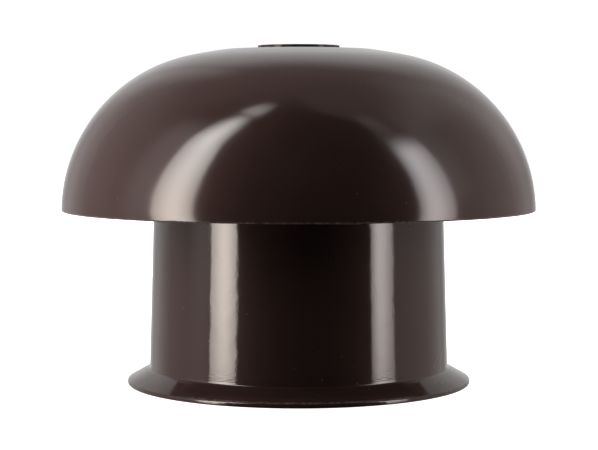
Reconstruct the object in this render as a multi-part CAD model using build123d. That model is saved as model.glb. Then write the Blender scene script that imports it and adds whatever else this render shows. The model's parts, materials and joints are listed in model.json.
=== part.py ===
from build123d import *

import os
from math import asin, atan2, cos, radians, sin, sqrt, tan

# Vent cap for a plastic vent pipe: a domed hood carried on fins over an open tube with a flared foot.
#
# Two mouldings make it. The base tube slips over the pipe and is open at both ends. The dome cap is a
# shell with radial fins moulded under it, and each fin straddles the tube's top edge. Air leaves the tube
# over that edge, between the fins, and goes out downwards through the gap between the tube and the rim.
#
# The frame has +Z up along the tube's axis, with the origin at the middle of the foot's underside.

# Pipe socket, in millimetres
PIPE_DIAMETER = 100.0  # outside of the pipe that goes into the socket
SOCKET_CLEARANCE = 0.2  # gap all round between the pipe and the socket
SOCKET_DEPTH = 38.0  # from the foot's underside up to the pipe stop
SOCKET_WALL = 3.0  # wall of the socket where it leaves the foot
SOCKET_LEAD_IN = 1.5  # chamfer round the socket's mouth
STOP_LEDGE = 1.3  # how far the pipe stop stands in from the socket's wall

# Tube above the socket
TUBE_HEIGHT = 84.0  # from the foot's underside to the tube's top edge
TUBE_WALL = 2.4  # wall at the top edge
TUBE_DRAFT = 1.7  # degrees that the outside leans in going up
TUBE_EDGE = 0.5  # rounding of the top edge, inside and out

# Flared foot
FOOT_FLARE = 7.9  # how far the lip stands out from the tube
FOOT_HEIGHT = 5.8  # where the flare meets the tube
FOOT_LIP = 1.4  # height of the lip's upright edge
FOOT_FILLET = 0.5  # hollow rounding between the flare and the tube
LIP_TOP_EDGE = 0.6  # rounding of the lip's upper edge
LIP_LOW_EDGE = 0.5  # rounding of the lip's lower edge

# Dome
DOME_DIAMETER = 168.0  # at the rim
DOME_WALL = 2.5
RIM_OVERLAP = 22.5  # how far the rim hangs below the tube's top edge
RIM_DRAFT = 1.0  # degrees that the wall leans in at the rim
RIM_OUTER_EDGE = 0.5  # rounding of the rim's outer edge
RIM_INNER_EDGE = 0.4  # rounding of the rim's inner edge
SHOULDER_RADIUS = 56.9  # of the arc from the rim to the crown
CROWN_RADIUS = 194.6  # of the shallow arc over the top
LAND_DIAMETER = 52.0  # flat land in the middle of the crown
BOSS_DIAMETER = 29.0  # raised disc on the land
BOSS_HEIGHT = 1.4
BOSS_EDGE = 0.3  # rounding of the boss's upper edge

# Fins under the dome
FIN_COUNT = 4
FIN_FIRST_ANGLE = 45.0  # degrees from +X to the first fin
FIN_THICKNESS = 2.4
FIN_STRADDLE = 9.0  # how far the legs reach down past the tube's top edge
FIN_LEG = 5.0  # width of the leg on each side of the tube's wall
FIN_CLEARANCE = 0.15  # gap between a leg and the tube's wall
FIN_LEAD_IN = 1.0  # chamfer on each side of the notch's mouth
FIN_RISE = 45.0  # degrees that the lower edge climbs from the outer leg to the dome

# Sizes that follow from those above
SOCKET_RADIUS = PIPE_DIAMETER / 2 + SOCKET_CLEARANCE
TUBE_RADIUS = SOCKET_RADIUS + SOCKET_WALL
FOOT_RADIUS = TUBE_RADIUS + FOOT_FLARE
RIM_Z = TUBE_HEIGHT - RIM_OVERLAP
SHOULDER_CENTRE_R = DOME_DIAMETER / 2 - SHOULDER_RADIUS * cos(radians(RIM_DRAFT))
SHOULDER_CENTRE_Z = RIM_Z - SHOULDER_RADIUS * sin(radians(RIM_DRAFT))
CROWN_CENTRE_Z = SHOULDER_CENTRE_Z - sqrt((CROWN_RADIUS - SHOULDER_RADIUS) ** 2 - SHOULDER_CENTRE_R**2)
LAND_Z = CROWN_CENTRE_Z + sqrt(CROWN_RADIUS**2 - (LAND_DIAMETER / 2) ** 2)
LEG_Z = TUBE_HEIGHT - FIN_STRADDLE


def tube_outside(z):
    """Radius of the tube's drafted outside at a height."""
    return TUBE_RADIUS - (z - FOOT_HEIGHT) * tan(radians(TUBE_DRAFT))


def tube_inside(z):
    """Radius of the bore above the pipe stop at a height, tapering from the stop to the top edge."""
    stop_radius = SOCKET_RADIUS - STOP_LEDGE
    top_radius = tube_outside(TUBE_HEIGHT) - TUBE_WALL
    share = (z - SOCKET_DEPTH) / (TUBE_HEIGHT - SOCKET_DEPTH)
    return stop_radius + (top_radius - stop_radius) * share


def on_arc(centre, radius, angle):
    """The point of an arc at an angle in radians, as (r, z)."""
    return (centre[0] + radius * cos(angle), centre[1] + radius * sin(angle))


def rounded(face, corners):
    """A section face with each listed corner (r, z) rounded by its radius."""
    for corner, radius in corners:
        vertex = face.vertices().sort_by_distance(Vector(*corner))[0]
        face = fillet(vertex, radius)
    return face


def turned(face):
    """The solid that a section face of (r, z) sweeps round the axis."""
    return revolve(Plane.XZ * face, Axis.Z)


def base_tube():
    """Socket, pipe stop, tube and flared foot, moulded in one."""
    lip_low = (FOOT_RADIUS, 0)
    lip_top = (FOOT_RADIUS, FOOT_LIP)
    flare_end = (TUBE_RADIUS, FOOT_HEIGHT)
    top_outside = (tube_outside(TUBE_HEIGHT), TUBE_HEIGHT)
    top_inside = (tube_inside(TUBE_HEIGHT), TUBE_HEIGHT)
    outline = Polyline(
        (SOCKET_RADIUS + SOCKET_LEAD_IN, 0),
        lip_low,
        lip_top,
        flare_end,
        top_outside,
        top_inside,
        (tube_inside(SOCKET_DEPTH), SOCKET_DEPTH),
        (SOCKET_RADIUS, SOCKET_DEPTH),
        (SOCKET_RADIUS, SOCKET_LEAD_IN),
        close=True,
    )
    edges = [
        (lip_low, LIP_LOW_EDGE),
        (lip_top, LIP_TOP_EDGE),
        (flare_end, FOOT_FILLET),
        (top_outside, TUBE_EDGE),
        (top_inside, TUBE_EDGE),
    ]
    return turned(rounded(make_face(outline), edges))


def dome_arcs(inset):
    """The dome's section from the rim to the land, on the surface that lies inset within the outer one.

    Returns the shoulder and crown arcs, the point on the rim's plane and the point at the land's edge.
    """
    shoulder_centre = (SHOULDER_CENTRE_R, SHOULDER_CENTRE_Z)
    crown_centre = (0, CROWN_CENTRE_Z)
    shoulder = SHOULDER_RADIUS - inset
    crown = CROWN_RADIUS - inset
    rim_angle = asin((RIM_Z - SHOULDER_CENTRE_Z) / shoulder)
    join_angle = atan2(SHOULDER_CENTRE_Z - CROWN_CENTRE_Z, SHOULDER_CENTRE_R)
    land_angle = asin((LAND_Z - inset - CROWN_CENTRE_Z) / crown)
    rim = on_arc(shoulder_centre, shoulder, rim_angle)
    join = on_arc(crown_centre, crown, join_angle)
    land = on_arc(crown_centre, crown, land_angle)
    shoulder_middle = on_arc(shoulder_centre, shoulder, (rim_angle + join_angle) / 2)
    crown_middle = on_arc(crown_centre, crown, (join_angle + land_angle) / 2)
    arcs = [ThreePointArc(rim, shoulder_middle, join), ThreePointArc(join, crown_middle, land)]
    return arcs, rim, land


def dome_shell():
    """The domed wall with its flat land and the raised boss in the middle."""
    outer_arcs, outer_rim, outer_land = dome_arcs(0)
    inner_arcs, inner_rim, inner_land = dome_arcs(DOME_WALL)
    boss_top = (BOSS_DIAMETER / 2, LAND_Z + BOSS_HEIGHT)
    crest = Polyline(
        outer_land,
        (BOSS_DIAMETER / 2, LAND_Z),
        boss_top,
        (0, LAND_Z + BOSS_HEIGHT),
        (0, LAND_Z - DOME_WALL),
        inner_land,
    )
    rim = Line(inner_rim, outer_rim)
    section = make_face([*outer_arcs, *crest.edges(), *inner_arcs, rim])
    edges = [(outer_rim, RIM_OUTER_EDGE), (inner_rim, RIM_INNER_EDGE), (boss_top, BOSS_EDGE)]
    return turned(rounded(section, edges))


def dome_core():
    """All that lies within the middle of the dome's wall, which ends the fins inside that wall."""
    arcs, rim, land = dome_arcs(DOME_WALL / 2)
    closing = Polyline(land, (0, land[1]), (0, RIM_Z), rim)
    return turned(make_face([*arcs, *closing.edges()]))


def fin():
    """One flat fin on the +X side, before it is notched over the tube's wall."""
    inner_r = tube_inside(LEG_Z) - FIN_CLEARANCE - FIN_LEG
    outer_r = tube_outside(LEG_Z) + FIN_CLEARANCE + FIN_LEG
    reach_r = DOME_DIAMETER / 2
    reach_z = LEG_Z + (reach_r - outer_r) * tan(radians(FIN_RISE))
    top_z = max(LAND_Z, reach_z)
    outline = Polyline(
        (inner_r, LEG_Z),
        (outer_r, LEG_Z),
        (reach_r, reach_z),
        (reach_r, top_z),
        (inner_r, top_z),
        close=True,
    )
    plate = extrude(Plane.XZ * make_face(outline), FIN_THICKNESS / 2, both=True)
    return plate & dome_core()


def tube_notch():
    """The ring that the tube's wall takes up in the fins, with clearance and a flared mouth."""
    mouth_z = LEG_Z + FIN_LEAD_IN
    below_z = LEG_Z - FIN_LEAD_IN
    flare_r = mouth_z - below_z
    inner_r = tube_inside(mouth_z) - FIN_CLEARANCE
    outer_r = tube_outside(mouth_z) + FIN_CLEARANCE
    outline = Polyline(
        (inner_r, mouth_z),
        (inner_r - flare_r, below_z),
        (outer_r + flare_r, below_z),
        (outer_r, mouth_z),
        (tube_outside(TUBE_HEIGHT) + FIN_CLEARANCE, TUBE_HEIGHT),
        (tube_inside(TUBE_HEIGHT) - FIN_CLEARANCE, TUBE_HEIGHT),
        close=True,
    )
    return turned(make_face(outline))


def dome_cap():
    """The dome with its fins, moulded in one. The notches' upper faces rest on the tube's top edge."""
    notched_fin = fin() - tube_notch()
    places = PolarLocations(0, FIN_COUNT, start_angle=FIN_FIRST_ANGLE)
    return dome_shell() + [place * notched_fin for place in places]


def main():
    """Writes each moulding to its own file and prints its size."""
    os.makedirs("parts", exist_ok=True)
    pieces = {"base_tube": base_tube(), "dome_cap": dome_cap()}
    for name, shape in pieces.items():
        export_step(shape, f"parts/{name}.step")
        box = shape.bounding_box()
        print(name, "volume", round(shape.volume), "mm3, from", box.min, "to", box.max)
    print("socket radius", round(SOCKET_RADIUS, 2), "mm, overall height", round(LAND_Z + BOSS_HEIGHT, 2), "mm")


main()
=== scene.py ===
import json
import logging
import math
from collections.abc import Callable
from dataclasses import dataclass
from enum import Enum
from functools import reduce
from typing import Any

import bmesh
import bpy
from mathutils import Matrix, Vector, noise


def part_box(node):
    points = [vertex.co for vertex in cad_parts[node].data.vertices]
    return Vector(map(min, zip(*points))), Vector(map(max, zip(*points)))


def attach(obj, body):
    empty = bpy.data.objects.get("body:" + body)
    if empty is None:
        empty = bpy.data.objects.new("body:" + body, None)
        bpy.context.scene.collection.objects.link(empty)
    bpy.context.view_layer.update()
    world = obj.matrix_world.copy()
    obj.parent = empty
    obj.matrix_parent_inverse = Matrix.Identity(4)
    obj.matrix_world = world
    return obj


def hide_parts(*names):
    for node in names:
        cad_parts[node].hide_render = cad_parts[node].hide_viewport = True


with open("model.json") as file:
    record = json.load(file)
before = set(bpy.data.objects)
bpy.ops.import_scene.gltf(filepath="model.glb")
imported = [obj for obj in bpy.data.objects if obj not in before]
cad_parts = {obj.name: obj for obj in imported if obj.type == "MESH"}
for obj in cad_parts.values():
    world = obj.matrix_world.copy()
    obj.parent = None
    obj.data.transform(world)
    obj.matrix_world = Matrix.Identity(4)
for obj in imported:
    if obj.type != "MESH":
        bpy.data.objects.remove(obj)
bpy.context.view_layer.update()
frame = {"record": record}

# The vent cap and the camera are in millimetres, as in a drawing. The studio is in metres.
LOG = logging.getLogger("vent_cap")
MM = 0.001
BODY = "root"
PHOTO_WIDTH = 598
CREASE = 32.0  # degrees between two faces, above which the edge between them stays sharp

Point = tuple[float, float]
Colour = tuple[float, float, float]
Shift = Callable[[float, float, float], Point]
Socket = bpy.types.NodeSocket
WHITE: Colour = (1.0, 1.0, 1.0)


class Reach(Enum):
    """Which part of the plastic's look a studio light acts on."""

    GLOSS = "gloss"
    BODY = "body"

    def limit(self, light: bpy.types.Object) -> None:
        """Hides a light from the camera and lets it act on this part only."""
        light.visible_camera = False
        light.visible_shadow = False
        light.visible_glossy = self is Reach.GLOSS
        light.visible_diffuse = self is Reach.BODY


class NodeSheet:
    """A node tree with short ways to add and join its nodes."""

    def __init__(self, tree: bpy.types.NodeTree) -> None:
        """Takes over a node tree and empties it."""
        self.tree = tree
        self.tree.nodes.clear()

    def add(self, kind: str, sockets: dict[str, Any] | None = None, **settings: Any) -> bpy.types.Node:
        """Adds one node.

        Args:
            kind: The node's type name.
            sockets: Values for input sockets, by socket name.
            settings: Values for the node's own settings.

        Returns:
            The new node.
        """
        node = self.tree.nodes.new(kind)
        for name, value in settings.items():
            setattr(node, name, value)
        for name, value in (sockets or {}).items():
            node.inputs[name].default_value = value
        return node

    def join(self, source: Socket, target: Socket) -> None:
        """Links an output socket to an input socket."""
        self.tree.links.new(source, target)

    def noise(self, place: Socket, grain: float, detail: float = 2.0) -> Socket:
        """Adds a cloud of noise over the object.

        Args:
            place: The coordinates that the noise follows, in metres.
            grain: Size of the noise's patches in millimetres.
            detail: How many finer layers it has.

        Returns:
            The noise's value, from 0 to 1.
        """
        node = self.add("ShaderNodeTexNoise", {"Scale": 1 / (grain * MM), "Detail": detail})
        self.join(place, node.inputs["Vector"])
        return node.outputs[0]

    def ramp(self, value: Socket, span: Point, gives: Point = (0.0, 1.0), soft: bool = False) -> Socket:
        """Maps a value from one range to another, held at both ends.

        Args:
            value: What is mapped.
            span: The lower and the upper input.
            gives: What these two give.
            soft: Whether it eases in and out.

        Returns:
            The mapped value.
        """
        ranges = {"From Min": span[0], "From Max": span[1], "To Min": gives[0], "To Max": gives[1]}
        node = self.add("ShaderNodeMapRange", ranges, interpolation_type="SMOOTHSTEP" if soft else "LINEAR")
        self.join(value, node.inputs["Value"])
        return node.outputs["Result"]

    def sum_of(self, operation: str, first: Socket, second: Any) -> Socket:
        """Joins two values, or a value and a number, by a sum such as MULTIPLY.

        Args:
            operation: The sum's name.
            first: The first value.
            second: The second value, as a socket or a plain number.

        Returns:
            The sum's value.
        """
        node = self.add("ShaderNodeMath", operation=operation)
        self.join(first, node.inputs[0])
        if isinstance(second, Socket):
            self.join(second, node.inputs[1])
        else:
            node.inputs[1].default_value = second
        return node.outputs[0]

    def largest(self, values: list[Socket]) -> Socket:
        """The largest of some values."""
        return reduce(lambda first, second: self.sum_of("MAXIMUM", first, second), values)

    def blend(self, share: Socket, first: Any, second: Any) -> Socket:
        """Blends two colours.

        Args:
            share: How much of the second colour shows.
            first: The first colour, as a socket or a plain colour.
            second: The second colour, as a socket or a plain colour.

        Returns:
            The blended colour.
        """
        node = self.add("ShaderNodeMix", data_type="RGBA")
        colours = [socket for socket in node.inputs if socket.type == "RGBA"]
        self.join(share, node.inputs[0])
        for socket, colour in zip(colours, (first, second)):
            if isinstance(colour, Socket):
                self.join(colour, socket)
            else:
                socket.default_value = (*colour, 1.0)
        return next(socket for socket in node.outputs if socket.type == "RGBA")

    def radius(self, place: Socket) -> Socket:
        """Gives the distance from the tube's axis.

        Args:
            place: Coordinates on the object.

        Returns:
            The distance in metres.
        """
        level = self.add("ShaderNodeVectorMath", operation="MULTIPLY")
        self.join(place, level.inputs[0])
        level.inputs[1].default_value = (1.0, 1.0, 0.0)
        length = self.add("ShaderNodeVectorMath", operation="LENGTH")
        self.join(level.outputs["Vector"], length.inputs[0])
        return length.outputs["Value"]

    def height(self, place: Socket) -> Socket:
        """The height above the foot's underside, in metres."""
        split = self.add("ShaderNodeSeparateXYZ")
        self.join(place, split.inputs[0])
        return split.outputs["Z"]

    def front(self, place: Socket, full_to: float, ends_at: float) -> Socket:
        """Keeps an effect to the front of the object.

        Args:
            place: Coordinates on the object.
            full_to: Up to this many degrees from the front it shows in full.
            ends_at: From this many degrees on it is gone.

        Returns:
            A value from 0 to 1.
        """
        split = self.add("ShaderNodeSeparateXYZ")
        self.join(place, split.inputs[0])
        ahead = self.sum_of("DIVIDE", self.sum_of("MULTIPLY", split.outputs["Y"], -1.0), self.radius(place))
        low, high = (math.cos(math.radians(angle)) for angle in (ends_at, full_to))
        return self.ramp(ahead, (low, high), soft=True)


class Measure(Enum):
    """What a band on the plastic is measured by."""

    RADIUS = "radius"
    HEIGHT = "height"

    def of(self, sheet: NodeSheet, place: Socket) -> Socket:
        """The measure at a place on the object, in millimetres."""
        metres = sheet.radius(place) if self is Measure.RADIUS else sheet.height(place)
        return sheet.sum_of("DIVIDE", metres, MM)


@dataclass(frozen=True)
class SoftBand:
    """A span of values with soft ends: nothing up to start, full from rise to fall, nothing from end on."""

    start: float
    rise: float
    fall: float
    end: float

    def weight(self, sheet: NodeSheet, value: Socket) -> Socket:
        """How far a value lies within the span.

        Args:
            sheet: The nodes that work it out.
            value: The value.

        Returns:
            A value from 0 outside to 1 within.
        """
        rising = sheet.ramp(value, (self.start, self.rise), soft=True)
        falling = sheet.ramp(value, (self.fall, self.end), (1.0, 0.0), soft=True)
        return sheet.sum_of("MULTIPLY", rising, falling)


@dataclass(frozen=True)
class ScuffAndPaintedLightBand:
    """A band in millimetres, kept within some degrees of the front and broken up by any grain: pale scuff
    marks that are partly a painted highlight on some bands, darker and duller painted shade on others.
    """

    by: Measure
    span: SoftBand
    share: float
    full_to: float = 170.0
    ends_at: float = 180.0
    grain: float = 0.0
    grain_detail: float = 4.0
    grain_span: Point = (0.32, 0.72)

    def weight(self, sheet: NodeSheet, place: Socket) -> Socket:
        """How much the band shows.

        Args:
            sheet: The material's nodes.
            place: Coordinates on the object.

        Returns:
            A value from 0 on the clean plastic to the band's share.
        """
        band = self.span.weight(sheet, self.by.of(sheet, place))
        shown = sheet.sum_of("MULTIPLY", band, sheet.front(place, self.full_to, self.ends_at))
        if self.grain <= 0:
            return sheet.sum_of("MULTIPLY", shown, self.share)
        broken = sheet.noise(place, self.grain, self.grain_detail)
        return sheet.sum_of("MULTIPLY", shown, sheet.ramp(broken, self.grain_span, (0.0, self.share)))


@dataclass(frozen=True)
class MouldedPlastic:
    """Glossy dark brown rigid plastic, with a moulding's waves and peel, with haze and dust, with pale scuff
    bands that are partly a painted highlight, and with darker, duller bands of painted shade.
    """

    name: str
    # Bands of painted shade: darker and duller plastic.
    painted_shade: tuple[ScuffAndPaintedLightBand, ...]
    # Pale scuff bands, partly real scuff marks and partly a painted highlight.
    scuffs_and_painted_highlight: tuple[ScuffAndPaintedLightBand, ...]
    colour: Colour = (0.041, 0.0205, 0.0171)
    deep_colour: Colour = (0.038, 0.0190, 0.0158)
    colour_grain: float = 22.0
    colour_span: Point = (0.35, 0.65)
    gloss: float = 0.105
    dull: float = 0.13
    dull_grain: float = 16.0
    dull_detail: float = 4.0
    dull_span: Point = (0.4, 0.68)
    haze: float = 0.37
    haze_share: float = 0.06
    wave_grain: float = 7.0
    wave_detail: float = 1.0
    wave_height: float = 0.008
    peel_grain: float = 0.9
    peel_height: float = 0.0006
    peel_least: float = 0.3
    peel_patch: float = 11.0
    peel_span: Point = (0.46, 0.6)
    peel_stretch: float = 1.6
    # Pale colour for the dust specks and for the scuff bands, which are partly a painted highlight.
    dust_and_highlight_colour: Colour = (0.30, 0.27, 0.245)
    dust_cell: float = 1.3
    dust_size: float = 0.16
    dust_core: float = 0.6
    dust_share: float = 0.05
    dust_patch: float = 18.0
    dust_span: Point = (0.48, 0.62)
    dust_roughness: float = 0.6
    refraction: float = 1.53
    # Darker colour and rougher haze of the painted-shade bands.
    painted_shade_colour: Colour = (0.020, 0.0100, 0.0084)
    painted_shade_haze: float = 0.95

    def material(self) -> bpy.types.Material:
        """Makes the finish as a material.

        Returns:
            The new material.
        """
        material = bpy.data.materials.new(self.name)
        material.use_nodes = True
        sheet = NodeSheet(material.node_tree)
        place = sheet.add("ShaderNodeTexCoord").outputs["Object"]
        body = {
            "IOR": self.refraction,
            "Specular IOR Level": self.haze_share / 2,
            "Roughness": self.haze,
            "Coat Weight": 1.0,
            "Coat IOR": self.refraction,
        }
        shader = sheet.add("ShaderNodeBsdfPrincipled", body)
        # This mask joins the dust specks with the pale scuff bands, which are partly a painted highlight.
        scuff_and_highlight_weights = [band.weight(sheet, place) for band in self.scuffs_and_painted_highlight]
        dust = sheet.largest([self._dust(sheet, place), *scuff_and_highlight_weights])
        # Painted shade: these bands darken the brown and dull the coat.
        painted_shade = sheet.largest([band.weight(sheet, place) for band in self.painted_shade])
        clouds = sheet.ramp(sheet.noise(place, self.colour_grain), self.colour_span)
        brown = sheet.blend(painted_shade, sheet.blend(clouds, self.deep_colour, self.colour), self.painted_shade_colour)
        dull = sheet.noise(place, self.dull_grain, self.dull_detail)
        clean = sheet.ramp(dull, self.dull_span, (self.gloss, self.dull))
        dusty = sheet.sum_of("MULTIPLY", dust, self.dust_roughness)
        relief = self._relief(sheet, place)
        look = {
            "Base Color": sheet.blend(dust, brown, self.dust_and_highlight_colour),
            "Roughness": sheet.ramp(painted_shade, (0.0, 1.0), (self.haze, self.painted_shade_haze)),
            "Coat Weight": sheet.ramp(painted_shade, (0.0, 1.0), (1.0, 0.0)),
            "Coat Roughness": sheet.largest([clean, dusty]),
            "Normal": relief,
            "Coat Normal": relief,
        }
        for name, source in look.items():
            sheet.join(source, shader.inputs[name])
        result = sheet.add("ShaderNodeOutputMaterial")
        sheet.join(shader.outputs["BSDF"], result.inputs["Surface"])
        return material

    def _dust(self, sheet: NodeSheet, place: Socket) -> Socket:
        """Scatters dust specks in loose patches.

        Args:
            sheet: The material's nodes.
            place: Coordinates on the object.

        Returns:
            How much dust there is, from 0 to 1.
        """
        cells = sheet.add("ShaderNodeTexVoronoi", {"Scale": 1 / (self.dust_cell * MM)})
        sheet.join(place, cells.inputs["Vector"])
        size = self.dust_size / self.dust_cell
        speck = sheet.ramp(cells.outputs["Distance"], (size * self.dust_core, size), (1.0, 0.0))
        pick = sheet.add("ShaderNodeSeparateColor")
        sheet.join(cells.outputs["Color"], pick.inputs["Color"])
        chosen = sheet.ramp(pick.outputs[0], (1 - self.dust_share, 1.0))
        patch = sheet.ramp(sheet.noise(place, self.dust_patch), self.dust_span)
        return sheet.sum_of("MULTIPLY", sheet.sum_of("MULTIPLY", speck, chosen), patch)

    def _relief(self, sheet: NodeSheet, place: Socket) -> Socket:
        """Lays the moulding's long faint waves and its fine peel, stronger in patches, over the surface.

        Args:
            sheet: The material's nodes.
            place: Coordinates on the object.

        Returns:
            The surface direction with that relief.
        """
        drawn = sheet.add("ShaderNodeVectorMath", operation="MULTIPLY")
        sheet.join(place, drawn.inputs[0])
        drawn.inputs[1].default_value = (1.0, 1.0, 1 / self.peel_stretch)
        patch = sheet.ramp(sheet.noise(place, self.peel_patch), self.peel_span, (self.peel_least, 1.0))
        peel = sheet.sum_of("MULTIPLY", sheet.noise(drawn.outputs["Vector"], self.peel_grain), patch)
        waves = sheet.noise(place, self.wave_grain, self.wave_detail)
        normal = None
        for relief, height in ((waves, self.wave_height), (peel, self.peel_height)):
            bump = sheet.add("ShaderNodeBump", {"Strength": 1.0, "Distance": height * MM})
            sheet.join(relief, bump.inputs["Height"])
            if normal is not None:
                sheet.join(normal, bump.inputs["Normal"])
            normal = bump.outputs["Normal"]
        return normal


@dataclass(frozen=True)
class Corner:
    """A corner of a turned section, in millimetres, rounded where its rounding is above zero."""

    r: float
    z: float
    rounding: float = 0.0

    @property
    def place(self) -> Vector:
        """The corner as a vector of (r, z)."""
        return Vector((self.r, self.z))


@dataclass(frozen=True)
class TurnedSection:
    """An outline in (r, z) that turns round the tube's axis into a smooth mesh."""

    corners: list[Corner]
    closed: bool
    longest_run: float = 3.0
    shortest_run: float = 0.48
    hold: float = 0.12
    axis_within: float = 0.0001
    curve_turn: float = 2.5
    rounding_pieces: int = 7
    segments: int = 480

    def _round_off(self, index: int) -> list[Vector]:
        """Rounds one corner.

        Args:
            index: The corner's place in the outline.

        Returns:
            The points that stand for the corner.
        """
        corner = self.corners[index]
        if corner.rounding <= 0:
            return [corner.place]
        to_before = (self.corners[index - 1].place - corner.place).normalized()
        to_after = (self.corners[(index + 1) % len(self.corners)].place - corner.place).normalized()
        half = to_before.angle(to_after) / 2
        reach = corner.rounding / math.tan(half)
        centre = corner.place + (to_before + to_after).normalized() * (corner.rounding / math.sin(half))
        first = (corner.place + to_before * reach - centre).normalized()
        last = (corner.place + to_after * reach - centre).normalized()
        shares = [step / self.rounding_pieces for step in range(self.rounding_pieces + 1)]
        return [centre + first.slerp(last, share) * corner.rounding for share in shares]

    def _turns(self, rough: list[Vector], index: int) -> bool:
        """Whether the outline turns at a point by more than a smooth curve does."""
        before, here, after = rough[index - 1], rough[index], rough[(index + 1) % len(rough)]
        return (here - before).angle(after - here) > math.radians(self.curve_turn)

    def _run(self, start: Vector, end: Vector, held: tuple[bool, bool]) -> list[Vector]:
        """Divides a straight run.

        Args:
            start: Where the run starts.
            end: Where it ends.
            held: Whether a point close to the start, and one close to the end, keeps the shading straight.

        Returns:
            The points between the two.
        """
        length = (end - start).length
        if length < self.shortest_run:
            return []
        count = max(1, math.ceil(length / self.longest_run))
        steps = [length * step / count for step in range(1, count)]
        first = [self.hold] if held[0] else []
        last = [length - self.hold] if held[1] else []
        return [start.lerp(end, step / length) for step in (*first, *steps, *last)]

    def points(self) -> list[Vector]:
        """The whole outline as points, with its corners rounded and its long runs divided."""
        rough = [point for index in range(len(self.corners)) for point in self._round_off(index)]
        turns = [self._turns(rough, index) for index in range(len(rough))]
        outline = []
        for index in range(len(rough) if self.closed else len(rough) - 1):
            after = (index + 1) % len(rough)
            outline.append(rough[index])
            outline.extend(self._run(rough[index], rough[after], (turns[index], turns[after])))
        return outline if self.closed else [*outline, rough[-1]]

    def mesh(self, shift: Shift | None = None) -> bmesh.types.BMesh:
        """Turns the outline round the axis.

        Args:
            shift: Gives how far a point at (r, z, angle) moves in r and z, or None where nothing moves.

        Returns:
            A closed mesh in metres.
        """
        turned = bmesh.new()
        rings = [self._ring(turned, point, shift) for point in self.points()]
        for lower, upper in zip(rings, rings[1:] + (rings[:1] if self.closed else [])):
            for step in range(self.segments):
                after = (step + 1) % self.segments
                quad = [lower[step], lower[after], upper[after], upper[step]]
                turned.faces.new(list(dict.fromkeys(quad)))
        bmesh.ops.recalc_face_normals(turned, faces=turned.faces)
        return turned

    def _ring(
        self, turned: bmesh.types.BMesh, point: Vector, shift: Shift | None
    ) -> list[bmesh.types.BMVert]:
        """Makes the ring of points that one outline point sweeps.

        Args:
            turned: The mesh that the points go into.
            point: The outline's point.
            shift: As in mesh().

        Returns:
            One point for each segment, all the same one on the axis.
        """
        if point.x < self.axis_within:
            return [turned.verts.new((0.0, 0.0, point.y * MM))] * self.segments
        ring = []
        for step in range(self.segments):
            angle = math.tau * step / self.segments
            out, up = shift(point.x, point.y, angle) if shift else (0.0, 0.0)
            radius = (point.x + out) * MM
            place = (radius * math.cos(angle), radius * math.sin(angle), (point.y + up) * MM)
            ring.append(turned.verts.new(place))
        return ring


def mesh_piece(name: str, form: bmesh.types.BMesh) -> bpy.types.Object:
    """Makes an object of a mesh, shaded smooth but for its real edges.

    Args:
        name: The object's name.
        form: The mesh, which is used up.

    Returns:
        The new object, in the scene.
    """
    mesh = bpy.data.meshes.new(name)
    form.to_mesh(mesh)
    form.free()
    smooth(mesh)
    piece = bpy.data.objects.new(name, mesh)
    bpy.context.scene.collection.objects.link(piece)
    return piece


def smooth(mesh: bpy.types.Mesh) -> None:
    """Shades a mesh smooth, with edges sharper than the crease left as edges."""
    mesh.shade_smooth()
    mesh.set_sharp_from_angle(angle=math.radians(CREASE))


def stand_for(piece: bpy.types.Object, node: str, finish: MouldedPlastic) -> None:
    """Puts a finished piece in the place of its solid.

    Args:
        piece: The piece.
        node: The solid's name.
        finish: What the piece is made of.
    """
    piece.data.materials.clear()
    piece.data.materials.append(finish.material())
    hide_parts(node)
    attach(piece, BODY)
    LOG.info("%s stands for %s with %d faces", piece.name, node, len(piece.data.polygons))


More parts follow.
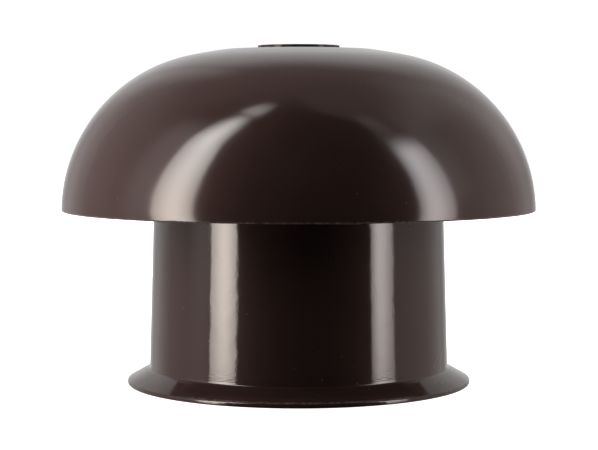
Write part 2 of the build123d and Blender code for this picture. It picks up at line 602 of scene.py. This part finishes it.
@dataclass(frozen=True)
class BaseTube:
    """The open tube with its pipe socket, stop ledge and flared foot, moulded in one."""

    socket_radius: float
    height: float
    socket_depth: float = 38.0
    socket_wall: float = 3.0
    lead_in: float = 1.5
    stop_ledge: float = 1.3
    top_wall: float = 2.4
    draft: float = 1.7
    edge: float = 0.5
    flare: float = 7.9
    flare_height: float = 5.8
    lip: float = 1.4
    fillet: float = 0.5
    lip_top_edge: float = 0.6
    lip_low_edge: float = 0.5
    ring_from: float = 6.4
    ring_count: int = 9
    ring_pitch: float = 0.5
    ring_depth: float = 0.014
    ring_steps: int = 6
    ring_wander: float = 0.035
    ring_grain: float = 3.0
    lip_wander: float = 0.12
    lip_grain: float = 1.7

    def outside(self, z: float) -> float:
        """Radius of the drafted outside at a height."""
        lean = math.tan(math.radians(self.draft))
        return self.socket_radius + self.socket_wall - (z - self.flare_height) * lean

    def inside(self, z: float) -> float:
        """Radius of the bore above the stop ledge at a height."""
        low = self.socket_radius - self.stop_ledge
        high = self.outside(self.height) - self.top_wall
        return low + (high - low) * (z - self.socket_depth) / (self.height - self.socket_depth)

    def rings(self) -> list[Corner]:
        """Fine tool rings just above the foot, which fade out upwards."""
        corners = []
        steps = self.ring_count * self.ring_steps
        for step in range(steps + 1):
            z = self.ring_from + step * self.ring_pitch / self.ring_steps
            wave = 1 - math.cos(math.tau * step / self.ring_steps)
            corners.append(Corner(self.outside(z) - self.ring_depth / 2 * wave * (1 - step / steps), z))
        return corners

    def section(self) -> TurnedSection:
        """The moulding's section, with its tool rings."""
        foot_radius = self.outside(self.flare_height) + self.flare
        return TurnedSection(
            [
                Corner(self.socket_radius + self.lead_in, 0),
                Corner(foot_radius, 0, self.lip_low_edge),
                Corner(foot_radius, self.lip, self.lip_top_edge),
                Corner(self.outside(self.flare_height), self.flare_height, self.fillet),
                *self.rings(),
                Corner(self.outside(self.height), self.height, self.edge),
                Corner(self.inside(self.height), self.height, self.edge),
                Corner(self.inside(self.socket_depth), self.socket_depth),
                Corner(self.socket_radius, self.socket_depth),
                Corner(self.socket_radius, self.lead_in),
            ],
            closed=True,
        )

    def shift(self, r: float, z: float, angle: float) -> Point:
        """Lets the lip's edge and the tool rings wander a little, as trimmed and turned edges do.

        Args:
            r: Distance from the axis.
            z: Height.
            angle: Angle round the axis from +X, in radians.

        Returns:
            How far the point moves in r and z.
        """
        x, y = r * math.cos(angle), r * math.sin(angle)
        lip_from = self.outside(self.flare_height) + self.flare - 2 * self.lip_top_edge
        if r >= lip_from and z > 0:
            return (-self.lip_wander * abs(noise.noise(Vector((x, y, z)) / self.lip_grain)), 0.0)
        fade = 1 - (z - self.ring_from) / (self.ring_count * self.ring_pitch)
        if r > self.socket_radius + self.socket_wall / 2 and 0 < fade <= 1:
            place = Vector((x / self.ring_grain, y / self.ring_grain, z / self.ring_pitch))
            return (-self.ring_wander * fade * abs(noise.noise(place)), 0.0)
        return (0.0, 0.0)

    def build(self) -> bpy.types.Object:
        """Makes the moulding's mesh."""
        return mesh_piece("base_tube_moulding", self.section().mesh(self.shift))

    def dress(self, piece: bpy.types.Object) -> None:
        """Gives the moulding its finish and its place, with painted shade on the flare, darkest at its
        front, and pale scuff marks along the lip's front that are partly a painted highlight.
        """
        root = self.outside(self.flare_height)
        lip = root + self.flare
        front_span = SoftBand(root + 0.4, root + 0.9, root + 4.2, root + 6.4)
        flare_span = SoftBand(root + 0.4, root + 0.9, lip - 0.9, lip - 0.5)
        lip_span = SoftBand(lip - 1.2, lip - 0.8, lip - 0.3, lip - 0.1)
        finish = MouldedPlastic(
            "brown_plastic_tube",
            painted_shade=(
                # Painted shade: the flare's front is made much darker and duller, standing in for the dark
                # surroundings it mirrors.
                ScuffAndPaintedLightBand(Measure.RADIUS, front_span, 0.88, full_to=38.3, ends_at=44.3),
                # Painted shade: a faint darker, duller ring all round the flare, under the dome.
                ScuffAndPaintedLightBand(Measure.RADIUS, flare_span, 0.10),
            ),
            # Pale scuff marks along the lip's front, partly a painted highlight standing in for the lip's
            # broken glint line.
            scuffs_and_painted_highlight=(ScuffAndPaintedLightBand(Measure.RADIUS, lip_span, 0.34, full_to=30.0, ends_at=44.0, grain=1.5),),
            colour=(0.031, 0.0156, 0.0130),
            deep_colour=(0.028, 0.0140, 0.0117),
            gloss=0.065,
            dull=0.10,
            haze_share=0.07,
            wave_grain=5.5,
            wave_height=0.015,
            peel_grain=0.75,
            peel_height=0.014,
            peel_least=0.06,
            dust_share=0.24,
        )
        stand_for(piece, "base_tube", finish)


@dataclass(frozen=True)
class RimNick:
    """A small run of flash, or a chip where its drop is negative, on the dome's lower edge."""

    azimuth: float
    width: float
    drop: float

    def at(self, angle: float, radius: float) -> float:
        """How far the edge hangs lower here.

        Args:
            angle: Angle round the axis from +X, in radians.
            radius: The rim's radius.

        Returns:
            The drop in millimetres.
        """
        turn = (math.degrees(angle) - self.azimuth + 180) % 360 - 180
        along = math.radians(turn) * radius
        return self.drop * math.exp(-((2 * along / self.width) ** 2))


@dataclass(frozen=True)
class DomeCap:
    """The mushroom dome with its flat land, low boss and the fins under it, moulded in one."""

    tube: BaseTube
    rim_z: float
    diameter: float = 168.0
    wall: float = 2.5
    rim_draft: float = 1.0
    rim_outer_edge: float = 0.5
    rim_inner_edge: float = 0.4
    shoulder: float = 56.9
    crown: float = 194.6
    land_diameter: float = 52.0
    land_edge: float = 8.0
    boss_diameter: float = 29.0
    boss_height: float = 1.4
    boss_edge: float = 0.3
    fin_count: int = 4
    fin_first_angle: float = 45.0
    fin_thickness: float = 2.4
    fin_straddle: float = 9.0
    fin_leg: float = 5.0
    fin_clearance: float = 0.15
    fin_lead_in: float = 1.0
    fin_rise: float = 45.0
    fin_edge: float = 0.2
    fin_edge_from: float = 30.0
    fin_edge_pieces: int = 2
    arc_step: float = 1.5
    flash_band: float = 0.9
    flash_height: float = 0.05
    flash_waves: float = 14.0
    nicks: tuple[RimNick, ...] = (
        RimNick(238.5, 2.6, 0.30),
        RimNick(242.0, 1.6, -0.22),
        RimNick(247.0, 5.0, 0.14),
        RimNick(281.0, 7.0, 0.20),
        RimNick(284.5, 2.0, -0.16),
        RimNick(301.0, 2.2, 0.15),
        RimNick(62.0, 3.0, 0.22),
        RimNick(118.0, 4.0, 0.16),
        RimNick(171.0, 2.4, -0.18),
    )

    @property
    def shoulder_centre(self) -> Vector:
        """Middle of the shoulder's arc."""
        lean = math.radians(self.rim_draft)
        r = self.diameter / 2 - self.shoulder * math.cos(lean)
        return Vector((r, self.rim_z - self.shoulder * math.sin(lean)))

    @property
    def crown_centre(self) -> Vector:
        """Middle of the crown's arc, on the axis."""
        centre = self.shoulder_centre
        return Vector((0.0, centre.y - math.sqrt((self.crown - self.shoulder) ** 2 - centre.x**2)))

    @property
    def land_z(self) -> float:
        """Height of the flat land."""
        return self.crown_centre.y + math.sqrt(self.crown**2 - (self.land_diameter / 2) ** 2)

    def arcs(self, inset: float) -> list[Vector]:
        """Points from the rim over the shoulder and crown to the land.

        Args:
            inset: How far within the outer surface they lie.

        Returns:
            Points of (r, z), the first on the rim's plane and the last at the land's edge.
        """
        join = math.atan2(self.shoulder_centre.y - self.crown_centre.y, self.shoulder_centre.x)
        shoulder = self.shoulder - inset
        crown = self.crown - inset
        rim = math.asin((self.rim_z - self.shoulder_centre.y) / shoulder)
        land = math.asin((self.land_z - inset - self.crown_centre.y) / crown)
        points = self._arc(self.shoulder_centre, shoulder, rim, join)
        return points + self._arc(self.crown_centre, crown, join, land)[1:]

    def _arc(self, centre: Vector, radius: float, first: float, last: float) -> list[Vector]:
        """Points along one arc, at about the arc step, from a first to a last angle."""
        count = math.ceil(radius * abs(last - first) / self.arc_step)
        angles = [first + (last - first) * step / count for step in range(count + 1)]
        return [centre + Vector((math.cos(angle), math.sin(angle))) * radius for angle in angles]

    def section(self) -> TurnedSection:
        """The shell's section, from the axis over the boss to the rim and back inside to the axis."""
        outer = self.arcs(0.0)
        inner = self.arcs(self.wall)
        boss_radius = self.boss_diameter / 2
        boss_z = self.land_z + self.boss_height
        return TurnedSection(
            [
                Corner(0.0, boss_z),
                Corner(boss_radius, boss_z, self.boss_edge),
                Corner(boss_radius, self.land_z),
                Corner(*outer[-1], self.land_edge),
                *(Corner(*point) for point in reversed(outer[1:-1])),
                Corner(*outer[0], self.rim_outer_edge),
                Corner(*inner[0], self.rim_inner_edge),
                *(Corner(*point) for point in inner[1:-1]),
                Corner(*inner[-1], self.land_edge),
                Corner(0.0, self.land_z - self.wall),
            ],
            closed=False,
        )

    def rim_shift(self, r: float, z: float, angle: float) -> Point:
        """Lets the rim's lower edge wander and carry its nicks and flash.

        Args:
            r: Distance from the axis; not used.
            z: Height.
            angle: Angle round the axis from +X, in radians.

        Returns:
            How far the point moves in r and z.
        """
        share = max(0.0, 1.0 - (z - self.rim_z) / self.flash_band)
        if share == 0.0:
            return (0.0, 0.0)
        around = Vector((math.cos(angle), math.sin(angle), 0.0)) * self.flash_waves
        drop = self.flash_height * noise.noise(around)
        drop += sum(nick.at(angle, self.diameter / 2) for nick in self.nicks)
        return (0.0, -drop * share)

    def fin_outline(self) -> list[Vector]:
        """One fin's outline in (r, z), notched over the tube's wall and ending within the dome's wall."""
        tube = self.tube
        leg_z = tube.height - self.fin_straddle
        mouth_z = leg_z + self.fin_lead_in
        inner_r = tube.inside(leg_z) - self.fin_clearance - self.fin_leg
        outer_r = tube.outside(leg_z) + self.fin_clearance + self.fin_leg
        slope = math.tan(math.radians(self.fin_rise))
        wall = [point for point in self.arcs(self.wall / 2) if inner_r < point.x]
        wall = [point for point in wall if point.y > leg_z + (point.x - outer_r) * slope]
        notch_in = tube.inside(mouth_z) - self.fin_clearance
        notch_out = tube.outside(mouth_z) + self.fin_clearance
        legs = [
            (inner_r, leg_z),
            (notch_in - self.fin_lead_in, leg_z),
            (notch_in, mouth_z),
            (tube.inside(tube.height) - self.fin_clearance, tube.height),
            (tube.outside(tube.height) + self.fin_clearance, tube.height),
            (notch_out, mouth_z),
            (notch_out + self.fin_lead_in, leg_z),
            (outer_r, leg_z),
        ]
        return [*(Vector(point) for point in legs), *wall, Vector((inner_r, wall[-1].y))]

    def fins(self) -> bmesh.types.BMesh:
        """All the fins as flat plates with softened edges."""
        plates = bmesh.new()
        half = self.fin_thickness / 2
        for step in range(self.fin_count):
            angle = math.radians(self.fin_first_angle) + math.tau * step / self.fin_count
            turn = Matrix.Rotation(angle, 3, "Z")
            sides = []
            for y in (-half, half):
                places = [turn @ Vector((point.x, y, point.y)) * MM for point in self.fin_outline()]
                sides.append([plates.verts.new(place) for place in places])
            plates.faces.new(sides[0])
            plates.faces.new(reversed(sides[1]))
            for index, corner in enumerate(sides[0]):
                plates.faces.new((sides[0][index - 1], corner, sides[1][index], sides[1][index - 1]))
        bmesh.ops.recalc_face_normals(plates, faces=plates.faces)
        least = math.radians(self.fin_edge_from)
        edges = [edge for edge in plates.edges if edge.calc_face_angle(0.0) > least]
        pieces = self.fin_edge_pieces
        bmesh.ops.bevel(
            plates, geom=edges, offset=self.fin_edge * MM, segments=pieces, profile=0.5, affect="EDGES"
        )
        return plates

    def build(self) -> bpy.types.Object:
        """Makes the moulding's mesh, with the fins fused to the shell."""
        piece = mesh_piece("dome_cap_moulding", self.section().mesh(self.rim_shift))
        fins = mesh_piece("dome_cap_fins", self.fins())
        fuse = piece.modifiers.new("fuse fins", "BOOLEAN")
        fuse.operation = "UNION"
        fuse.solver = "EXACT"
        fuse.object = fins
        fused = piece.evaluated_get(bpy.context.evaluated_depsgraph_get())
        piece.data = bpy.data.meshes.new_from_object(fused)
        piece.modifiers.clear()
        bpy.data.objects.remove(fins)
        smooth(piece.data)
        return piece

    def dress(self, piece: bpy.types.Object) -> None:
        """Gives the moulding its finish and its place, with pale scuff marks along the rim's front and round
        the boss that are partly a painted highlight, and painted shade round the boss.
        """
        boss = self.boss_diameter / 2
        boss_span = SoftBand(boss - 0.6, boss - 0.3, boss + 0.1, boss + 0.4)
        rim_span = SoftBand(self.rim_z - 2.0, self.rim_z - 1.0, self.rim_z + 0.3, self.rim_z + 0.75)
        finish = MouldedPlastic(
            "brown_plastic_dome",
            # Painted shade: a darker, duller band round the boss's edge.
            painted_shade=(ScuffAndPaintedLightBand(Measure.RADIUS, boss_span, 0.75),),
            scuffs_and_painted_highlight=(
                # Pale flash along the rim's front, partly real and partly a painted highlight along its
                # lower edge.
                ScuffAndPaintedLightBand(Measure.HEIGHT, rim_span, 0.42, full_to=50.0, ends_at=75.0, grain=1.5),
                # Pale scuff marks round the boss's edge, partly a painted highlight.
                ScuffAndPaintedLightBand(Measure.RADIUS, boss_span, 0.20, grain=1.5),
            ),
        )
        stand_for(piece, "dome_cap", finish)


@dataclass(frozen=True)
class SlantEdge:
    """A slanting soft edge across the light tent, where a plane through its middle cuts it."""

    lean: tuple[float, float, float]
    dark: float
    bright: float

    def weight(self, sheet: NodeSheet, direction: Socket) -> Socket:
        """How far a direction lies behind the edge, from 0 to 1."""
        dot = sheet.add("ShaderNodeVectorMath", operation="DOT_PRODUCT")
        sheet.join(direction, dot.inputs[0])
        dot.inputs[1].default_value = self.lean
        return sheet.ramp(dot.outputs["Value"], (self.dark, self.bright), soft=True)


@dataclass(frozen=True)
class LightPatch:
    """A bright patch with soft edges on the light tent, by the directions that it fills."""

    radiance: float
    across: SoftBand
    upward: SoftBand
    toward: float = 0.0
    tint: Colour = WHITE
    high_tint: Colour = WHITE
    tint_heights: Point = (0.0, 45.0)
    leans: tuple[tuple[Point, float], ...] = ()
    edge: SlantEdge | None = None

    def shader(self, sheet: NodeSheet, direction: Socket, azimuth: Socket, elevation: Socket) -> Socket:
        """Makes the patch's light.

        Args:
            sheet: The tent's nodes.
            direction: Unit direction from the tent's middle.
            azimuth: Its angle in degrees from the camera's side, to the right.
            elevation: Its angle above the horizon in degrees.

        Returns:
            The light's shader.
        """
        turned = sheet.sum_of("SUBTRACT", azimuth, self.toward)
        for heights, turn in self.leans:
            turned = sheet.sum_of("SUBTRACT", turned, sheet.ramp(elevation, heights, (0.0, turn)))
        wrap = sheet.add("ShaderNodeMath", operation="WRAP")
        sheet.join(turned, wrap.inputs[0])
        wrap.inputs[1].default_value = 180.0
        wrap.inputs[2].default_value = -180.0
        across = self.across.weight(sheet, wrap.outputs[0])
        weight = sheet.sum_of("MULTIPLY", across, self.upward.weight(sheet, elevation))
        if self.edge is not None:
            weight = sheet.sum_of("MULTIPLY", weight, self.edge.weight(sheet, direction))
        colour = sheet.blend(sheet.ramp(elevation, self.tint_heights), self.tint, self.high_tint)
        light = sheet.add("ShaderNodeEmission")
        sheet.join(colour, light.inputs["Color"])
        sheet.join(sheet.sum_of("MULTIPLY", weight, self.radiance), light.inputs["Strength"])
        return light.outputs[0]


@dataclass(frozen=True)
class LightTent:
    """A round tent of soft light about the vent cap, which only the plastic's gloss mirrors."""

    radius: float = 2.0
    middle: float = 0.07
    glow: float = 0.012
    left_warm: Colour = (1.0, 0.895, 0.815)
    left_high: Colour = (0.89, 0.85, 0.815)
    right_warm: Colour = (1.0, 0.895, 0.88)
    right_high: Colour = (0.92, 0.88, 0.895)
    ceiling_warm: Colour = (1.0, 0.82, 0.80)

    def patches(self) -> list[LightPatch]:
        """The bright strips at the front corners, the dim walls, back and ceiling."""
        left = {
            "tint": self.left_warm,
            "high_tint": self.left_high,
            "tint_heights": (5.0, 42.0),
            "leans": (((-2.5, 2.5), -1.7), ((12.0, 36.0), 1.7), ((48.0, 75.0), 6.5)),
        }
        right = {
            "tint": self.right_warm,
            "high_tint": self.right_high,
            "tint_heights": (-4.0, 25.0),
            "leans": (((-2.5, 2.5), 0.9), ((10.0, 40.0), -1.8)),
        }
        right_heights = SoftBand(-18.0, -2.0, 36.0, 50.0)
        wall_heights = SoftBand(-70.0, -60.0, 40.0, 62.0)
        corner_heights = SoftBand(-70.0, -60.0, 8.0, 40.0)
        top = {"tint": self.ceiling_warm, "high_tint": self.ceiling_warm}
        top_heights = SoftBand(44.0, 64.0, 91.0, 92.0)
        top_side_heights = SoftBand(38.0, 54.0, 91.0, 92.0)
        top_lean = (0.2177, 1.0, 0.188)
        left_edge = SlantEdge(top_lean, -0.15, 0.26)
        right_edge = SlantEdge(top_lean, -0.07, 0.0)
        return [
            LightPatch(7.1, SoftBand(-70.9, -68.9, -48.4, -46.4), SoftBand(-18.0, -2.0, 40.0, 70.5), **left),
            LightPatch(5.8, SoftBand(-70.5, -58.0, -57.0, -46.5), SoftBand(-18.0, -2.0, 59.0, 70.0), **left),
            LightPatch(2.6, SoftBand(-68.0, -60.0, -57.0, -48.0), SoftBand(38.0, 54.0, 64.0, 70.0), **left),
            LightPatch(4.0, SoftBand(-77.0, -66.0, -53.0, -43.0), SoftBand(67.0, 70.2, 73.2, 82.0), **left),
            LightPatch(2.9, SoftBand(55.4, 57.0, 75.6, 77.4), right_heights, **right),
            LightPatch(5.0, SoftBand(55.2, 63.2, 64.7, 78.2), right_heights, **right),
            LightPatch(0.45, SoftBand(52.0, 56.0, 60.0, 74.0), SoftBand(40.0, 48.0, 60.0, 70.0), **right),
            LightPatch(0.33, SoftBand(-160.0, -140.0, -74.0, -69.5), wall_heights),
            LightPatch(0.23, SoftBand(-172.0, -155.0, -140.0, -112.0), corner_heights),
            LightPatch(0.56, SoftBand(-96.0, -80.0, -73.0, -69.5), SoftBand(-12.0, 4.0, 45.0, 62.0)),
            LightPatch(0.32, SoftBand(71.0, 80.0, 136.0, 160.0), SoftBand(-70.0, -60.0, 48.0, 68.0)),
            LightPatch(0.13, SoftBand(112.0, 138.0, 155.0, 172.0), corner_heights),
            LightPatch(0.32, SoftBand(-162.0, -156.0, -152.0, -140.0), SoftBand(12.0, 30.0, 47.0, 64.0)),
            LightPatch(0.18, SoftBand(114.0, 142.0, 154.0, 163.0), SoftBand(4.0, 20.0, 34.0, 58.0)),
            LightPatch(0.26, SoftBand(74.0, 79.0, 81.0, 96.0), SoftBand(4.0, 14.0, 36.0, 54.0)),
            LightPatch(0.70, SoftBand(-36.0, -10.0, 11.0, 34.0), wall_heights, toward=180.0),
            LightPatch(0.24, SoftBand(-181.0, -180.0, 5.0, 40.0), top_heights, edge=left_edge, **top),
            LightPatch(0.31, SoftBand(5.0, 40.0, 100.0, 140.0), top_side_heights, edge=right_edge, **top),
            LightPatch(0.24, SoftBand(100.0, 140.0, 180.0, 181.0), top_heights, edge=right_edge, **top),
        ]

    def build(self) -> None:
        """Makes the tent as a staged ball of light."""
        form = bmesh.new()
        bmesh.ops.create_icosphere(form, subdivisions=4, radius=self.radius)
        bmesh.ops.reverse_faces(form, faces=form.faces)
        tent = mesh_piece("light_tent", form)
        tent.location.z = self.middle
        Reach.GLOSS.limit(tent)
        tent.data.materials.append(self._light())

    def _light(self) -> bpy.types.Material:
        """The tent's glowing cloth, with all its patches."""
        material = bpy.data.materials.new("tent_light")
        material.use_nodes = True
        sheet = NodeSheet(material.node_tree)
        unit = sheet.add("ShaderNodeVectorMath", operation="NORMALIZE")
        sheet.join(sheet.add("ShaderNodeTexCoord").outputs["Object"], unit.inputs[0])
        direction = unit.outputs["Vector"]
        split = sheet.add("ShaderNodeSeparateXYZ")
        sheet.join(direction, split.inputs[0])
        away = sheet.sum_of("MULTIPLY", split.outputs["Y"], -1.0)
        turn = sheet.sum_of("ARCTAN2", split.outputs["X"], away)
        azimuth = sheet.sum_of("MULTIPLY", turn, math.degrees(1))
        rise = sheet.add("ShaderNodeMath", operation="ARCSINE")
        sheet.join(split.outputs["Z"], rise.inputs[0])
        elevation = sheet.sum_of("MULTIPLY", rise.outputs[0], math.degrees(1))
        total = sheet.add("ShaderNodeEmission", {"Strength": self.glow}).outputs[0]
        for patch in self.patches():
            both = sheet.add("ShaderNodeAddShader")
            sheet.join(total, both.inputs[0])
            sheet.join(patch.shader(sheet, direction, azimuth, elevation), both.inputs[1])
            total = both.outputs[0]
        result = sheet.add("ShaderNodeOutputMaterial")
        sheet.join(total, result.inputs["Surface"])
        return material


@dataclass(frozen=True)
class FillLight:
    """A soft panel that lights the plastic's brown body from one direction."""

    name: str
    azimuth: float
    elevation: float
    strength: float
    distance: float = 1.2
    size: float = 0.5
    aim: float = 0.06

    def build(self) -> None:
        """Makes the panel as a staged plane of light that faces the vent cap."""
        turn, rise = math.radians(self.azimuth), math.radians(self.elevation)
        level = math.cos(rise)
        away = Vector((math.sin(turn) * level, -math.cos(turn) * level, math.sin(rise)))
        form = bmesh.new()
        bmesh.ops.create_grid(form, x_segments=1, y_segments=1, size=self.size / 2)
        panel = mesh_piece(self.name, form)
        panel.rotation_mode = "QUATERNION"
        panel.rotation_quaternion = (-away).to_track_quat("Z", "Y")
        panel.location = away * self.distance + Vector((0.0, 0.0, self.aim))
        Reach.BODY.limit(panel)
        material = bpy.data.materials.new(self.name)
        material.use_nodes = True
        sheet = NodeSheet(material.node_tree)
        radiance = self.strength * math.pi * (self.distance / self.size) ** 2
        light = sheet.add("ShaderNodeEmission", {"Color": (*WHITE, 1.0), "Strength": radiance})
        result = sheet.add("ShaderNodeOutputMaterial")
        sheet.join(light.outputs[0], result.inputs["Surface"])
        panel.data.materials.append(material)


@dataclass(frozen=True)
class Studio:
    """The light tent, the fill lights, the plain pale floor and the room."""

    tent: LightTent = LightTent()
    fills: tuple[FillLight, ...] = (
        FillLight("fill_left_low", -85.0, -15.0, 0.75),
        FillLight("fill_left", -105.0, 7.0, 0.93),
        FillLight("fill_left_high", -105.0, 30.0, 0.60),
        FillLight("fill_left_front", -70.0, 20.0, 0.27),
        FillLight("fill_left_top", -115.0, 60.0, 0.42),
        FillLight("fill_front", 0.0, 35.0, 0.09),
        FillLight("fill_right_low", 96.0, -15.0, 0.66),
        FillLight("fill_right_front", 75.0, 10.0, 0.11),
        FillLight("fill_right", 113.0, 12.0, 0.97),
        FillLight("fill_right_high", 132.0, 45.0, 0.50),
    )
    floor_radius: float = 12.0
    floor_drop: float = 0.0001
    floor_colour: Colour = (0.9, 0.9, 0.9)
    floor_roughness: float = 0.9
    floor_glow: float = 1.02
    backdrop_glow: float = 1.05
    room_glow: float = 0.03

    def build_floor(self) -> None:
        """Makes the plain pale floor, which glows enough to show white up to the foot."""
        form = bmesh.new()
        bmesh.ops.create_circle(form, cap_ends=True, segments=64, radius=self.floor_radius)
        floor = mesh_piece("floor", form)
        floor.location.z = -self.floor_drop
        floor.visible_glossy = False
        floor.visible_diffuse = False
        floor.visible_shadow = False
        material = bpy.data.materials.new("pale_floor")
        material.use_nodes = True
        paint = material.node_tree.nodes["Principled BSDF"]
        look = {
            "Base Color": (*self.floor_colour, 1.0),
            "Roughness": self.floor_roughness,
            "Specular IOR Level": 0.0,
            "Emission Color": (*WHITE, 1.0),
            "Emission Strength": self.floor_glow,
        }
        for name, value in look.items():
            paint.inputs[name].default_value = value
        floor.data.materials.append(material)

    def build_world(self) -> None:
        """Makes the surroundings: white where the camera looks past the floor, else a dim room."""
        scene = bpy.context.scene
        scene.world = bpy.data.worlds.new("studio_room")
        scene.world.use_nodes = True
        sheet = NodeSheet(scene.world.node_tree)
        white = sheet.add("ShaderNodeBackground", {"Color": (*WHITE, 1.0), "Strength": self.backdrop_glow})
        dim = sheet.add("ShaderNodeBackground", {"Color": (*WHITE, 1.0), "Strength": self.room_glow})
        seen = sheet.add("ShaderNodeLightPath").outputs["Is Camera Ray"]
        mix = sheet.add("ShaderNodeMixShader")
        result = sheet.add("ShaderNodeOutputWorld")
        sheet.join(seen, mix.inputs[0])
        sheet.join(dim.outputs[0], mix.inputs[1])
        sheet.join(white.outputs[0], mix.inputs[2])
        sheet.join(mix.outputs[0], result.inputs["Surface"])
        scene.view_settings.view_transform = "Standard"

    def build(self) -> None:
        """Sets up the floor, the surroundings and the lights."""
        self.build_floor()
        self.build_world()
        self.tent.build()
        for fill in self.fills:
            fill.build()
        LOG.info("studio with %d tent patches and %d fill lights", len(self.tent.patches()), len(self.fills))


@dataclass(frozen=True)
class PhotoCamera:
    """The camera at the photograph's distance, height and tilt, in millimetres and degrees."""

    distance: float = 631.7
    height: float = 96.45
    aside: float = 0.12
    tilt_down: float = 3.67
    focal_pixels: float = 1772.8
    sensor: float = 36.0

    def build(self) -> None:
        """Makes the camera and gives it to the scene."""
        data = bpy.data.cameras.new("photo_camera")
        data.sensor_width = self.sensor
        data.lens = self.focal_pixels * self.sensor / PHOTO_WIDTH
        camera = bpy.data.objects.new("photo_camera", data)
        camera.location = Vector((self.aside, -self.distance, self.height)) * MM
        camera.rotation_euler = (math.radians(90 - self.tilt_down), 0.0, 0.0)
        bpy.context.scene.collection.objects.link(camera)
        bpy.context.scene.camera = camera


def main() -> None:
    """Builds the vent cap piece by piece, then the studio and the camera."""
    logging.basicConfig(level=logging.INFO, format="%(name)s: %(message)s")
    socket = next(mount for mount in frame["record"]["mounts"] if mount["name"] == "pipe_socket")
    tube_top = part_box("base_tube")[1].z / MM
    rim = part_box("dome_cap")[0].z / MM
    tube = BaseTube(socket_radius=socket["dims"]["r_mm"], height=tube_top)
    dome = DomeCap(tube=tube, rim_z=rim)
    for moulding in (tube, dome):
        moulding.dress(moulding.build())
    Studio().build()
    PhotoCamera().build()


if __name__ == "__main__":
    main()
